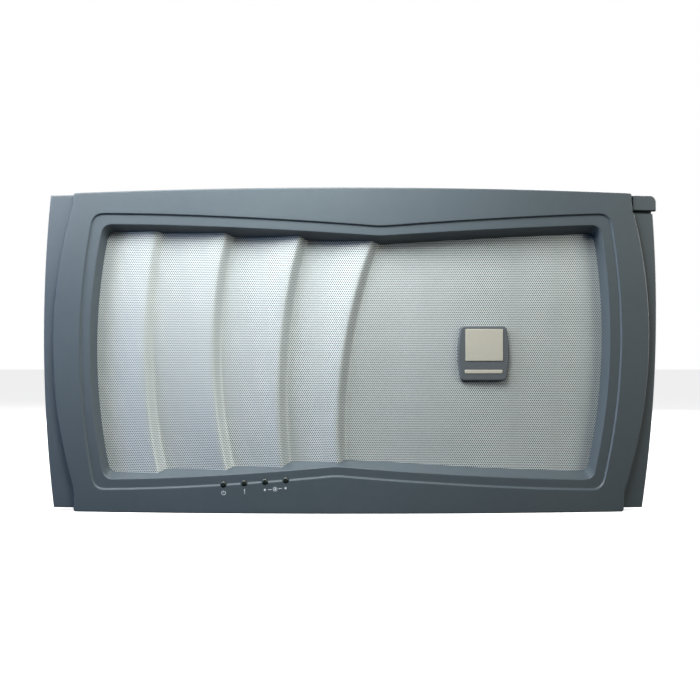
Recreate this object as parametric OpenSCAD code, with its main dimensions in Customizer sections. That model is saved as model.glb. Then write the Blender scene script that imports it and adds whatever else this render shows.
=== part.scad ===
/* [Front] */
// Overall width over the two side ears
overall_w = 493.6; // [485:0.2:500]
// Height of the front at its middle
front_h = 257.5; // [254:0.5:262]
// How much lower the top edge is at its ends
top_arch = 2.7; // [0:0.1:5]
// Depth from the front at its middle to the rear rim
depth = 44; // [42:1:50]
// Radius of the bowed front, seen from above
front_r = 1560; // [1400:20:2400]
// Thickness of the outer walls
wall = 3; // [2.4:0.2:3.6]
// Half width of the raised face at its bulge, left
face_left = 238.4; // [236:0.2:240]
// Half width of the raised face at its bulge, right
face_right = 240; // [236:0.2:241]
// Radius of the bulging sides of the raised face
face_side_r = 384; // [360:4:420]
// Half width of the raised face at its corners
face_corner = 221.4; // [216:0.2:224]

/* [Ears] */
// How far the ears lie behind the raised face
ear_step = 4; // [3:0.5:4.5]
// Height of the ears' lower edge above the base
ear_bottom = 2.8; // [1:0.2:5]
// Height of the ears' upper edge above the base
ear_top = 253.6; // [250:0.2:254]

/* [Window] */
// Depth of the recessed band round the window
band_depth = 1.6; // [1:0.1:2]
// Depth of the grille below the recessed band
grille_depth = 15; // [14:0.5:16]
// Slope of the window walls, top and bottom, over that depth
draft_z = 5.5; // [4:0.5:6]
// Slope of the window walls at the sides, over that depth
draft_x = 3.8; // [2:0.2:5]
// Thickness of the window walls
inner_wall = 2.5; // [2:0.1:3]
// Position of the upper waist along the width
waist_top_x = 24; // [10:1:40]
// Position of the lower waist along the width
waist_bottom_x = -11; // [-30:1:0]

/* [Grille] */
// Thickness of the perforated sheet
sheet_t = 1; // [0.8:0.1:1.2]
// How far the sheet runs on behind the window walls
sheet_lap = 8.5; // [7:0.5:9]
// Width of the steep side of each fold
fold_w = 8.5; // [6:0.5:9]

/* [Badge] */
// Width of the badge at its middle
badge_w = 41.6; // [36:0.2:44]
// Height of the badge
badge_h = 44; // [40:0.5:46]
// How far the badge stands off the sheet
badge_t = 4; // [3:0.5:5]

/* [Light pipes] */
// Radius of a light pipe
pipe_r = 2.4; // [2:0.1:2.5]
// Spacing of the light pipes
pipe_pitch = 16.5; // [16:0.1:17]

/* [Ball sockets] */
// Radius of the bore that grips a ball stud
socket_r = 4.1; // [4:0.05:4.2]
// Depth of that bore
socket_len = 7.5; // [7:0.5:8]
// Sideways distance of the sockets from the middle
socket_x = 224; // [223:0.5:225]
// Heights of the lower and upper sockets
socket_z = [34, 222];

/* [Hidden] */

y0 = -depth/2;          // front of the raised face at the middle
y1 = depth/2;           // rear rim
half_w = overall_w/2;
axis_y = y0 + front_r;  // axis of the bowed front

// heights at which the sides bulge most
bulge_l = 130; bulge_r = 141;

// window outlines: [left x, left radius, right x, right radius,
//   top left, top waist, top right, bottom left, bottom waist, bottom right, corner]
step_line = [-216.6, 520, 217.4, 480, 238.5, 227.2, 238.2, 17.8, 29.4, 17.6, 9];
edge_line = [-208, 448, 207.6, 480, 229.4, 219, 228.8, 26.5, 37.7, 26.2, 7];
foot_line = [edge_line[0] + draft_x, edge_line[1], edge_line[2] - draft_x, edge_line[3],
             edge_line[4] - draft_z, edge_line[5] - draft_z, edge_line[6] - draft_z,
             edge_line[7] + draft_z, edge_line[8] + draft_z, edge_line[9] + draft_z, 6];
function grow(q, g) = [q[0] - g, q[1] + g, q[2] + g, q[3] + g, q[4] + g, q[5] + g, q[6] + g,
                       q[7] - g, q[8] - g, q[9] - g, q[10] + g];

// folds of the grille, left to right: [x of the ridge at its leftmost, its height, radius,
//   rise of the ridge at the top and at the bottom, rise of the foot at the top and at the bottom]
folds = [[-166, 133, 460, 4.9, 7.4, 1.0, -0.5],
         [-111, 129, 400, 5.2, 7.9, -2.0, 1.5],
         [-58, 92, 480, 6.3, 9.4, -1.2, 0.6],
         [-11, 66, 410, 6.0, 9.2, 0, 2.4]];

function sag(x) = front_r - sqrt(front_r*front_r - x*x);
function mix(a, b, t) = a + (b - a)*t;
function smooth(t) = t*t*(3 - 2*t);
function bez(a, b, c, n) = [for (i = [0:n]) let(t = i/n) (1-t)*(1-t)*a + 2*t*(1-t)*b + t*t*c];

// edges of a window outline
function left_x(q, z)  = q[0] + (z - bulge_l)*(z - bulge_l)/(2*q[1]);
function right_x(q, z) = q[2] - (z - bulge_r)*(z - bulge_r)/(2*q[3]);
function run(x, xe, xw) = max(0, min(1, (x - xe)/(xw - xe)));
function top_z(q, x) = x < waist_top_x
    ? mix(q[4], q[5], pow(run(x, -205, waist_top_x), 1.55))
    : mix(q[6], q[5], pow(run(x, 205, waist_top_x), 1.25));
function bottom_z(q, x) = x < waist_bottom_x
    ? mix(q[7], q[8], pow(run(x, -205, waist_bottom_x), 1.6))
    : mix(q[9], q[8], pow(run(x, 200, waist_bottom_x), 1.5));
// corners: the side and the top or bottom edge are brought together in two steps
function tl(q) = let(a = top_z(q, left_x(q, q[4])), x = left_x(q, a)) [x, top_z(q, x)];
function tr(q) = let(a = top_z(q, right_x(q, q[6])), x = right_x(q, a)) [x, top_z(q, x)];
function bl(q) = let(a = bottom_z(q, left_x(q, q[7])), x = left_x(q, a)) [x, bottom_z(q, x)];
function br(q) = let(a = bottom_z(q, right_x(q, q[9])), x = right_x(q, a)) [x, bottom_z(q, x)];
seg = 10;
// the two edges with their waists rounded
waist_w = 5;
function round_waist(zl, zw, zr, t) = (1-t)*(1-t)*zl + 2*t*(1-t)*zw + t*t*zr;
function top_r(q, x) = abs(x - waist_top_x) > waist_w ? top_z(q, x)
    : round_waist(top_z(q, waist_top_x - waist_w), q[5], top_z(q, waist_top_x + waist_w), (x - waist_top_x + waist_w)/(2*waist_w));
function bottom_r(q, x) = abs(x - waist_bottom_x) > waist_w ? bottom_z(q, x)
    : round_waist(bottom_z(q, waist_bottom_x - waist_w), q[8], bottom_z(q, waist_bottom_x + waist_w), (x - waist_bottom_x + waist_w)/(2*waist_w));
function top_at(q, x) = [x, top_r(q, x)];
function bot_at(q, x) = [x, bottom_r(q, x)];
// positions along the top or bottom edge, so that each fold of the grille starts and ends on one
function stations(xa, xb, r) = concat(
    split(xa, r[0], 3), split(r[0], r[0] + fold_w, 3), split(r[0] + fold_w, r[1], 4),
    split(r[1], r[1] + fold_w, 3), split(r[1] + fold_w, r[2], 4), split(r[2], r[2] + fold_w, 3),
    split(r[2] + fold_w, r[3] - 4, 4), split(r[3] - 4, r[3], 2), split(r[3], r[3] + fold_w, 3),
    split(r[3] + fold_w, r[3] + 45, 5), split(r[3] + 45, xb, 7), [xb]);
function split(a, b, n) = [for (i = [0:n - 1]) mix(a, b, i/n)];
// closed outline, clockwise as seen from the front
function outline(q) = let(a = tl(q), b = tr(q), c = br(q), d = bl(q), r = q[10],
        rt = [for (k = [0:3]) ridge_x(k, top_z(q, ridge_x(k, 225)))],
        rb = [for (k = [0:3]) ridge_x(k, bottom_z(q, ridge_x(k, 35)))],
        top = stations(a[0] + r, b[0] - r, rt), bottom = stations(d[0] + r, c[0] - r, rb), m = len(bottom) - 1)
  concat(
    bez([left_x(q, a[1] - r), a[1] - r], a, top_at(q, top[0]), 5),
    [for (i = [1:len(top) - 2]) top_at(q, top[i])],
    bez(top_at(q, top[len(top) - 1]), b, [right_x(q, b[1] - r), b[1] - r], 5),
    [for (i = [1:seg - 1]) let(z = mix(b[1] - r, c[1] + r, i/seg)) [right_x(q, z), z]],
    bez([right_x(q, c[1] + r), c[1] + r], c, bot_at(q, bottom[m]), 5),
    [for (i = [1:m - 1]) bot_at(q, bottom[m - i])],
    bez(bot_at(q, bottom[0]), d, [left_x(q, d[1] + r), d[1] + r], 5),
    [for (i = [1:seg - 1]) let(z = mix(d[1] + r, a[1] - r, i/seg)) [left_x(q, z), z]]);

// outline of the raised face, drawn in by g
function face_l(z) = min(-face_left + (z - 132.5)*(z - 132.5)/(2*face_side_r), -face_corner);
function face_r(z) = max(face_right - (z - 141)*(z - 141)/(2*face_side_r), face_corner - 2.4 + 6.6*z/255);
function face_top(x) = front_h - top_arch*x*x/(222*222);
function face_outline(g) = let(n = 24, za = 2 + g, zb = face_top(face_corner) - 2 - g) concat(
    [for (i = [0:n]) let(z = mix(za, zb, i/n)) [face_l(z) + g, z]],
    [for (i = [0:n]) let(x = mix(face_l(zb) + g + 2, face_r(zb) - g - 2, i/n)) [x, face_top(x) - g]],
    [for (i = [0:n]) let(z = mix(zb, za, i/n)) [face_r(z) - g, z]],
    [[face_r(g) - g - 2, g], [face_l(g) + g + 2, g]]);
// outline over the two ears, drawn in by g
function ear_l(z) = -half_w + (z - 139)*(z - 139)/2252;
function ear_r(z) = half_w - (z - 160)*(z - 160)/2090;
function ear_outline(g) = let(n = 16, za = ear_bottom + g, zb = ear_top - g) concat(
    [for (i = [0:n]) let(z = mix(za, zb, i/n)) [ear_l(z) + g, z]],
    [for (i = [0:n]) let(z = mix(zb, za, i/n)) [ear_r(z) - g, z]]);

// grille: position across the width of each ridge, and the surface's rise towards the front
function ridge_x(k, z) = folds[k][0] + (z - folds[k][1])*(z - folds[k][1])/(2*folds[k][2]);
function up(z) = (z - 35)/190;
function ridge_rise(k, z) = mix(folds[k][4], folds[k][3], up(z));
function foot_rise(k, z) = mix(folds[k][6], folds[k][5], up(z));
function rise(x, z) =
    x < ridge_x(0, z) ? mix(0.8, ridge_rise(0, z), pow(run(x, -215, ridge_x(0, z)), 1.6)) :
    x < ridge_x(1, z) ? fold_rise(0, x, z) :
    x < ridge_x(2, z) ? fold_rise(1, x, z) :
    x < ridge_x(3, z) ? fold_rise(2, x, z) :
    x < ridge_x(3, z) + fold_w ? mix(ridge_rise(3, z), foot_rise(3, z), smooth((x - ridge_x(3, z))/fold_w)) :
    mix(foot_rise(3, z), 0, smooth(run(x, ridge_x(3, z) + fold_w, ridge_x(3, z) + 45)));
function fold_rise(k, x, z) = let(a = ridge_x(k, z), b = a + fold_w, c = ridge_x(k + 1, z))
    x < b ? mix(ridge_rise(k, z), foot_rise(k, z), smooth((x - a)/fold_w))
          : mix(foot_rise(k, z), ridge_rise(k + 1, z), pow((x - b)/(c - b), 1.6));
// depth coordinate of the grille's front surface
function grille_y(x, z) = y0 + sag(x) + band_depth + grille_depth - rise(x, z);

// clamps that hold the grille, just outside its edge: [x, z]
clamp_out = sheet_lap + 3.7;
clamps = concat(
    [for (x = [-178, -125, -68, 60, 120, 178]) [x, top_z(foot_line, x) + clamp_out]],
    [for (x = [-178, -128, -25, 50, 115, 175]) [x, bottom_z(foot_line, x) - clamp_out]],
    [for (z = [85, 175]) [left_x(foot_line, z) - clamp_out, z]],
    [for (z = [85, 175]) [right_x(foot_line, z) + clamp_out, z]]);
function clamp_y(c) = let(x = c[0], z = c[1]) max([for (dx = [-6, 0, 6]) for (dz = [-6, 0, 6])
    grille_y(x + dx, z + dz)]) + sheet_t + 0.4;

pipe_x = [for (i = [0:3]) -100.2 + i*pipe_pitch];
pipe_z = [22.9, 24.0, 25.2, 26.5];
carrier_screw_x = [-115, -37];
badge_x = 106.7; badge_z = 126.5;
socket_at = [for (z = socket_z) for (s = [-1, 1]) [s*socket_x, z]];
socket_y = 10;

// an outline in the X-Z plane, run from ya to yb
module plate(points, ya, yb) {
    translate([0, yb, 0]) rotate([90, 0, 0]) linear_extrude(yb - ya) polygon(points);
}
// everything at least d behind the bowed front
module behind(d) {
    translate([0, axis_y, -20]) cylinder(r = front_r - d, h = 320, $fn = 720);
}
// round bar along Y
module bar(x, z, r, ya, yb) {
    translate([x, yb, z]) rotate([90, 0, 0]) cylinder(r = r, h = yb - ya, $fn = 40);
}
// a place on a bowed surface d behind the front, facing outwards
module on_front(x, z, d) {
    translate([0, axis_y, z]) rotate([0, 0, asin(x/(front_r - d))]) translate([0, -(front_r - d), 0]) children();
}

// sloping walls of the window, from the recessed band down to the grille
// They keep one slope all round, so where the sheet stands higher they end nearer the edge.
module window_walls() {
    a = outline(grow(edge_line, 0.4));
    b = outline(grow(edge_line, inner_wall));
    e = outline(edge_line);
    f = outline(foot_line);
    g = outline(grow(foot_line, inner_wall));
    n = len(a);
    share = [for (p = f) 1 - rise(p[0], p[1])/grille_depth];
    c = [for (k = [0:n - 1]) mix(b[k], g[k], share[k])];
    d = [for (k = [0:n - 1]) mix(e[k], f[k], share[k])];
    pts = concat(
        [for (p = a) [p[0], y0 + sag(p[0]) + band_depth + 1, p[1]]],
        [for (p = b) [p[0], y0 + sag(p[0]) + band_depth + 1, p[1]]],
        [for (p = c) [p[0], grille_y(p[0], p[1]) - 0.3, p[1]]],
        [for (p = d) [p[0], grille_y(p[0], p[1]) - 0.3, p[1]]]);
    faces = [for (r = [0:3]) for (k = [0:n - 1]) for (t = [0:1])
        let(i = r*n + k, j = r*n + (k + 1)%n, u = ((r + 1)%4)*n + k, v = ((r + 1)%4)*n + (k + 1)%n)
        t == 0 ? [i, u, j] : [j, u, v]];
    polyhedron(pts, faces, convexity = 6);
}

module frame_shell() {
    difference() {
        union() {
            intersection() { plate(face_outline(0), y0 - 4, y1); behind(0); }
            intersection() { plate(ear_outline(0), y0 - 4, y1); behind(ear_step); }
        }
        // recessed band
        difference() { plate(outline(step_line), y0 - 10, 6); behind(band_depth); }
        // window
        plate(outline(edge_line), y0 - 10, y1 + 1);
        // rear hollow
        intersection() { plate(face_outline(wall), y0 - 4, y1 + 1); behind(5.2); }
        intersection() { plate(ear_outline(wall), y0 - 4, y1 + 1); behind(ear_step + 3.2); }
    }
}

module ribs() {
    intersection() {
        plate(face_outline(1.5), y0, y1);
        behind(5);
        difference() {
            union() {
                for (x = [-198, -140, -85, -15, 35, 90, 150, 198])
                    translate([x - 1, y0, top_z(edge_line, x) - 0.6]) cube([2, 60, 40]);
                for (x = [-198, -152, -5, 80, 145, 195])
                    translate([x - 1, y0, bottom_z(foot_line, x) - sheet_lap - 0.8 - 40]) cube([2, 60, 40]);
                for (z = [60, 110, 150, 200]) {
                    translate([left_x(edge_line, z) + 0.6 - 40, y0, z - 1]) cube([40, 60, 2]);
                    translate([right_x(edge_line, z) - 0.6, y0, z - 1]) cube([40, 60, 2]);
                }
            }
            behind(10.5);
        }
    }
}

// seat of the label tab, in the upper end of the right ear
tab_x = [226.6, 246.2]; tab_z = [241.2, 253.2];
module bezel_frame() {
    color([0.30, 0.36, 0.41]) difference() {
        union() {
            frame_shell();
            window_walls();
            ribs();
            for (c = clamps) bar(c[0], c[1], 3.2, y0 + sag(c[0]) + 3.5, clamp_y(c));
            for (x = carrier_screw_x) bar(x, 13, 3.2, y0 + sag(x) + 3.5, 2);
            for (s = socket_at) for (d = [-12.5, 12.5])
                bar(s[0], s[1] + d, 3.4, y0 + sag(s[0]) + ear_step + 1.5, socket_y);
            intersection() {
                translate([tab_x[0] - 4, y0, tab_z[0] - 5.6]) cube([40, 30, 30]);
                plate(ear_outline(0), y0, y1);
                behind(ear_step + 1);
                difference() { behind(0); behind(ear_step + 9); }
            }
        }
        for (c = clamps) bar(c[0], c[1], 1.45, clamp_y(c) - 7.5, clamp_y(c) + 1);
        for (x = carrier_screw_x) bar(x, 13, 1.45, -6, 3);
        for (s = socket_at) for (d = [-12.5, 12.5]) bar(s[0], s[1] + d, 1.45, 4.5, socket_y + 1);
        for (i = [0:3]) bar(pipe_x[i], pipe_z[i], pipe_r + 0.15, y0 - 5, 0);
        // seat of the tab, open at the top and the side
        difference() {
            translate([tab_x[0] - 0.4, y0, tab_z[0] - 2.4]) cube([40, 40, 40]);
            behind(ear_step + 5.6);
        }
        // slot for the leg of the tab
        translate([233, 0, 246.2]) cube([7, 14, 2.6]);
    }
}

module mesh_grille() {
    q = grow(foot_line, sheet_lap);
    nf = 6; ns = 3; nm = 5; nr = 9; nz = 20;
    // stations across the width, as [special line, share of the way to the next]
    st = concat(
        [for (i = [0:nf - 1]) [0, i/nf]],
        [for (k = [0:3]) for (i = [0:ns - 1]) [2*k + 1, i/ns]],
        [for (k = [0:2]) for (i = [0:nf - 1]) [2*k + 2, i/nf]],
        [for (i = [0:nm - 1]) [8, i/nm]],
        [for (i = [0:nr]) [9, i/nr]]);
    order = [for (s = [0:9]) for (e = st) if (e[0] == s) e];
    nx = len(order) - 1;
    function line_x(s, z) = s == 0 ? left_x(q, z) : s == 10 ? right_x(q, z) : s == 9 ? ridge_x(3, z) + 45 :
        s%2 == 1 ? ridge_x((s - 1)/2, z) : ridge_x(s/2 - 1, z) + fold_w;
    function at(e, z) = mix(line_x(e[0], z), line_x(e[0] + 1, z), e[1]);
    function zz(v, x) = mix(bottom_z(q, x), top_z(q, x), v);
    function pt(e, v) = let(xa = at(e, zz(v, 0)), za = zz(v, xa), xb = at(e, za), zb = zz(v, xb), x = at(e, zb), z = zz(v, x)) [x, z];
    grid = [for (j = [0:nz]) for (i = [0:nx]) pt(order[i], j/nz)];
    m = len(grid);
    pts = concat([for (p = grid) [p[0], grille_y(p[0], p[1]), p[1]]],
                 [for (p = grid) [p[0], grille_y(p[0], p[1]) + sheet_t, p[1]]]);
    w = nx + 1;
    faces = concat(
        [for (j = [0:nz - 1]) for (i = [0:nx - 1]) let(a = j*w + i) for (t = [0:1])
            t == 0 ? [a, a + w, a + 1] : [a + 1, a + w, a + w + 1]],
        [for (j = [0:nz - 1]) for (i = [0:nx - 1]) let(a = m + j*w + i) for (t = [0:1])
            t == 0 ? [a, a + 1, a + w] : [a + 1, a + w + 1, a + w]],
        [for (i = [0:nx - 1]) for (t = [0:1]) t == 0 ? [i, i + 1, m + i] : [i + 1, m + i + 1, m + i]],
        [for (i = [0:nx - 1]) let(a = nz*w + i) for (t = [0:1]) t == 0 ? [a, m + a, a + 1] : [a + 1, m + a, m + a + 1]],
        [for (j = [0:nz - 1]) let(a = j*w) for (t = [0:1]) t == 0 ? [a, m + a, a + w] : [a + w, m + a, m + a + w]],
        [for (j = [0:nz - 1]) let(a = j*w + nx) for (t = [0:1]) t == 0 ? [a, a + w, m + a] : [a + w, m + a + w, m + a]]);
    color([0.78, 0.80, 0.80]) difference() {
        polyhedron(pts, faces, convexity = 8);
        for (d = [-14, 14]) on_front(badge_x, badge_z + d, band_depth + grille_depth)
            rotate([90, 0, 0]) translate([0, 0, -4]) cylinder(r = 1.9, h = 8, $fn = 32);
    }
}

module grille_washers() {
    color([0.72, 0.73, 0.75]) for (c = clamps) difference() {
        bar(c[0], c[1], 6, clamp_y(c), clamp_y(c) + 0.8);
        bar(c[0], c[1], 1.7, clamp_y(c) - 1, clamp_y(c) + 2);
    }
}

// pan head screw: shank towards the front, head behind the seat at y
module screw(x, z, y, len) {
    bar(x, z, 1.4, y - len, y + 0.4);
    difference() {
        bar(x, z, 2.8, y, y + 1.8);
        for (a = [0, 90]) translate([x, y + 1.8, z]) rotate([0, a, 0]) cube([2.8, 1.8, 0.7], center = true);
    }
}
module grille_screws() {
    color([0.55, 0.56, 0.58]) for (c = clamps) screw(c[0], c[1], clamp_y(c) + 0.8, 7.6);
}

// badge outline with bulging sides
function badge_outline(w, h, b, r) = let(n = 8) concat(
    [for (i = [0:n]) let(t = -1 + 2*i/n) [-w/2 + b*t*t, t*(h/2 - r)]],
    bez([-w/2 + b, h/2 - r], [-w/2 + b, h/2], [-w/2 + b + r, h/2], 4),
    bez([w/2 - b - r, h/2], [w/2 - b, h/2], [w/2 - b, h/2 - r], 4),
    [for (i = [1:n - 1]) let(t = 1 - 2*i/n) [w/2 - b*t*t, t*(h/2 - r)]],
    bez([w/2 - b, -h/2 + r], [w/2 - b, -h/2], [w/2 - b - r, -h/2], 4),
    bez([-w/2 + b + r, -h/2], [-w/2 + b, -h/2], [-w/2 + b, -h/2 + r], 4));
module on_badge() { on_front(badge_x, badge_z, band_depth + grille_depth) children(); }
inlay_z = 6.8; bar_z = -14.6;
module badge_plaque() {
    color([0.33, 0.38, 0.42]) on_badge() difference() {
        union() {
            plate(badge_outline(badge_w, badge_h, 1.6, 2.8), -badge_t, -0.3);
            for (d = [-14, 14]) bar(0, d, 1.5, -1, 5.5);
        }
        // seats of the two inlays
        translate([-15.6, -badge_t - 1, inlay_z - 12.9]) cube([31.2, 1.6, 25.8]);
        translate([-15.4, -badge_t - 1, bar_z - 1.6]) cube([30.8, 1.5, 3.2]);
    }
}
module badge_inlay() {
    color([0.72, 0.70, 0.65]) on_badge()
        plate([[-15.5, inlay_z - 12.8], [-15.5, inlay_z + 12.8], [15.5, inlay_z + 12.8], [15.5, inlay_z - 12.8]],
              -badge_t - 0.1, -badge_t + 0.6);
}
module badge_bar() {
    color([0.80, 0.80, 0.78]) on_badge()
        plate([[-15.3, bar_z - 1.5], [-15.3, bar_z + 1.5], [15.3, bar_z + 1.5], [15.3, bar_z - 1.5]],
              -badge_t - 0.1, -badge_t + 0.5);
}
module badge_push_nuts() {
    color([0.70, 0.71, 0.73]) on_badge() for (d = [-14, 14]) difference() {
        bar(0, d, 5, 1.5, 2.1);
        bar(0, d, 1.55, 1, 3);
    }
}

module label_tab() {
    color([0.28, 0.33, 0.38]) union() {
        intersection() {
            plate([[tab_x[0], tab_z[0]], [tab_x[0], tab_z[1]], [tab_x[1] - 3, tab_z[1]],
                   [tab_x[1], tab_z[1] - 3], [tab_x[1], tab_z[0]]], -6, 14);
            difference() { behind(ear_step - 1.5); behind(ear_step + 5.4); }
        }
        // hooked leg
        translate([233.3, 2, 246.5]) cube([6.4, 9.5, 2]);
        translate([233.3, 9.8, 246.5]) cube([6.4, 1.7, 2.2]);
    }
}

module light_pipe(i) {
    ya = y0 + sag(pipe_x[i]);
    color([0.16, 0.17, 0.19]) union() {
        bar(pipe_x[i], pipe_z[i], pipe_r, ya + 0.3, 7);
        // domed end
        intersection() {
            translate([pipe_x[i], ya + 2.6, pipe_z[i]]) sphere(r = 3.3, $fn = 48);
            bar(pipe_x[i], pipe_z[i], pipe_r, ya - 2, ya + 1);
        }
        bar(pipe_x[i], pipe_z[i], 3.2, -0.5, 1.8);
    }
}
module light_pipe_1() { light_pipe(0); }
module light_pipe_2() { light_pipe(1); }
module light_pipe_3() { light_pipe(2); }
module light_pipe_4() { light_pipe(3); }

module light_pipe_carrier() {
    color([0.12, 0.12, 0.13]) difference() {
        union() {
            translate([-120, 2, 8]) cube([88, 3, 10]);
            translate([-106, 2, 8]) cube([61, 3, 24]);
        }
        for (i = [0:3]) bar(pipe_x[i], pipe_z[i], pipe_r + 0.1, 0, 6);
        for (x = carrier_screw_x) bar(x, 13, 1.6, 0, 6);
    }
}
module carrier_screws() {
    color([0.55, 0.56, 0.58]) for (x = carrier_screw_x) screw(x, 13, 5, 10);
}

// spring socket: base plate with a split cup that opens to the rear
module ball_socket(x, z) {
    color([0.86, 0.86, 0.83]) translate([x, socket_y, z]) difference() {
        union() {
            translate([-7, 0, -17]) cube([14, 2.5, 34]);
            bar(0, 0, 6.4, 0, 11);
        }
        bar(0, 0, socket_r, 11 - socket_len, 12);
        for (a = [0, 120, 240]) rotate([0, a, 0]) translate([-0.6, 5, 2]) cube([1.2, 8, 8]);
        for (d = [-12.5, 12.5]) bar(0, d, 1.6, -1, 4);
    }
}
module ball_socket_lower_left() { ball_socket(-socket_x, socket_z[0]); }
module ball_socket_lower_right() { ball_socket(socket_x, socket_z[0]); }
module ball_socket_upper_left() { ball_socket(-socket_x, socket_z[1]); }
module ball_socket_upper_right() { ball_socket(socket_x, socket_z[1]); }
module socket_screws() {
    color([0.55, 0.56, 0.58]) for (s = socket_at) for (d = [-12.5, 12.5]) screw(s[0], s[1] + d, socket_y + 2.5, 7.5);
}

bezel_frame();
mesh_grille();
grille_washers();
grille_screws();
badge_plaque();
badge_inlay();
badge_bar();
badge_push_nuts();
label_tab();
light_pipe_1();
light_pipe_2();
light_pipe_3();
light_pipe_4();
light_pipe_carrier();
carrier_screws();
ball_socket_lower_left();
ball_socket_lower_right();
ball_socket_upper_left();
ball_socket_upper_right();
socket_screws();
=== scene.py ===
import bpy, bmesh, math
import numpy as np
from mathutils import Vector, Matrix


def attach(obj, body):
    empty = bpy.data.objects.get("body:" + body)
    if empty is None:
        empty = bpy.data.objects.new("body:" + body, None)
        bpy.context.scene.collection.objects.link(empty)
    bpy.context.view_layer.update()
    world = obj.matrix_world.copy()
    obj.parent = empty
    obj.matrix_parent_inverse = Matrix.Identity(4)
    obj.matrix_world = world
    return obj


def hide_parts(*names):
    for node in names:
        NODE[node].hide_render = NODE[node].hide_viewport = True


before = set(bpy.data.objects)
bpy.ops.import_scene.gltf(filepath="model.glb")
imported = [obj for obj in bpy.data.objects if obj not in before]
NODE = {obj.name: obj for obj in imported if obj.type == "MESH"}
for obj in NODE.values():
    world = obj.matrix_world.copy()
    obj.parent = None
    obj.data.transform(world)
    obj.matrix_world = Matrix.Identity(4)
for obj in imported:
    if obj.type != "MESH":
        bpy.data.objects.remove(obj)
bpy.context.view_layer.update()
scene = bpy.context.scene
MM = 0.001

# ---------------------------------------------------------------- the front's own rules, in millimetres
Y0, Y1 = -22.0, 22.0
R = 1560.0
BAND, DEEP, EAR = 1.6, 15.0, 4.0
DRAFT_X, DRAFT_Z = 3.8, 5.5
WALL, INNER = 3.0, 2.5
TOP_X, BOTTOM_X = 24.0, -11.0
STEP_LINE = (-216.6, 520, 217.4, 480, 238.5, 227.2, 238.2, 17.8, 29.4, 17.6, 9)
EDGE_LINE = (-208, 448, 207.6, 480, 229.4, 219, 228.8, 26.5, 37.7, 26.2, 7)
FOOT_LINE = (EDGE_LINE[0] + DRAFT_X, EDGE_LINE[1], EDGE_LINE[2] - DRAFT_X, EDGE_LINE[3],
             EDGE_LINE[4] - DRAFT_Z, EDGE_LINE[5] - DRAFT_Z, EDGE_LINE[6] - DRAFT_Z,
             EDGE_LINE[7] + DRAFT_Z, EDGE_LINE[8] + DRAFT_Z, EDGE_LINE[9] + DRAFT_Z, 6)
FOLD_W, SHEET_T, SHEET_LAP = 8.5, 1.0, 8.5
FOLDS = ((-166, 133, 460, 4.9, 7.4, 1.0, -0.5), (-111, 129, 400, 5.2, 7.9, -2.0, 1.5),
         (-58, 92, 480, 6.3, 9.4, -1.2, 0.6), (-11, 66, 410, 6.0, 9.2, 0, 2.4))


def sag(x):
    return R - math.sqrt(R * R - x * x)


def mix(a, b, t):
    return a + (b - a) * t


def smooth(t):
    return t * t * (3 - 2 * t)


def grow(q, g):
    return (q[0] - g, q[1] + g, q[2] + g, q[3] + g, q[4] + g, q[5] + g, q[6] + g, q[7] - g, q[8] - g, q[9] - g, max(q[10] + g, 0.8))


def left_x(q, z):
    return q[0] + (z - 130) ** 2 / (2 * q[1])


def right_x(q, z):
    return q[2] - (z - 141) ** 2 / (2 * q[3])


def run(x, xe, xw):
    return max(0.0, min(1.0, (x - xe) / (xw - xe)))


def top_z(q, x):
    return mix(q[4], q[5], run(x, -205, TOP_X) ** 1.55) if x < TOP_X else mix(q[6], q[5], run(x, 205, TOP_X) ** 1.25)


def bottom_z(q, x):
    return mix(q[7], q[8], run(x, -205, BOTTOM_X) ** 1.6) if x < BOTTOM_X else mix(q[9], q[8], run(x, 200, BOTTOM_X) ** 1.5)


def rounded(f, q, x, waist, zw, w=6.0):
    if abs(x - waist) > w:
        return f(q, x)
    t = (x - waist + w) / (2 * w)
    return (1 - t) ** 2 * f(q, waist - w) + 2 * t * (1 - t) * zw + t * t * f(q, waist + w)


def top_r(q, x):
    return rounded(top_z, q, x, TOP_X, q[5])


def bottom_r(q, x):
    return rounded(bottom_z, q, x, BOTTOM_X, q[8])


def bez(a, b, c, n):
    out = []
    for i in range(n + 1):
        t = i / n
        out.append(tuple((1 - t) ** 2 * a[k] + 2 * t * (1 - t) * b[k] + t * t * c[k] for k in (0, 1)))
    return out


NT, NS, NC = 250, 56, 9      # stations along the top or bottom, a side, and a corner
SIDE_T = [0.0003] + [i / NS for i in range(1, NS)] + [0.9997]
TOP_T = [i / NT for i in range(1, NT)]


def outline(q):
    """Closed outline of the window, clockwise from the upper left as seen from the front."""
    r = q[10]

    def corner(side, edge, zc):
        z = zc
        for _ in range(3):
            x = side(q, z)
            z = edge(q, x)
        return side(q, z), z
    a, b = corner(left_x, top_z, q[4]), corner(right_x, top_z, q[6])
    d, c = corner(left_x, bottom_z, q[7]), corner(right_x, bottom_z, q[9])
    out = bez((left_x(q, a[1] - r), a[1] - r), a, (a[0] + r, top_r(q, a[0] + r)), NC)
    out += [(x, top_r(q, x)) for x in (mix(a[0] + r, b[0] - r, t) for t in TOP_T)]
    out += bez((b[0] - r, top_r(q, b[0] - r)), b, (right_x(q, b[1] - r), b[1] - r), NC)
    out += [(right_x(q, z), z) for z in (mix(b[1] - r, c[1] + r, t) for t in SIDE_T)]
    out += bez((right_x(q, c[1] + r), c[1] + r), c, (c[0] - r, bottom_r(q, c[0] - r)), NC)
    out += [(x, bottom_r(q, x)) for x in (mix(c[0] - r, d[0] + r, t) for t in TOP_T)]
    out += bez((d[0] + r, bottom_r(q, d[0] + r)), d, (left_x(q, d[1] + r), d[1] + r), NC)
    out += [(left_x(q, z), z) for z in (mix(d[1] + r, a[1] - r, t) for t in SIDE_T)]
    return out


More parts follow.
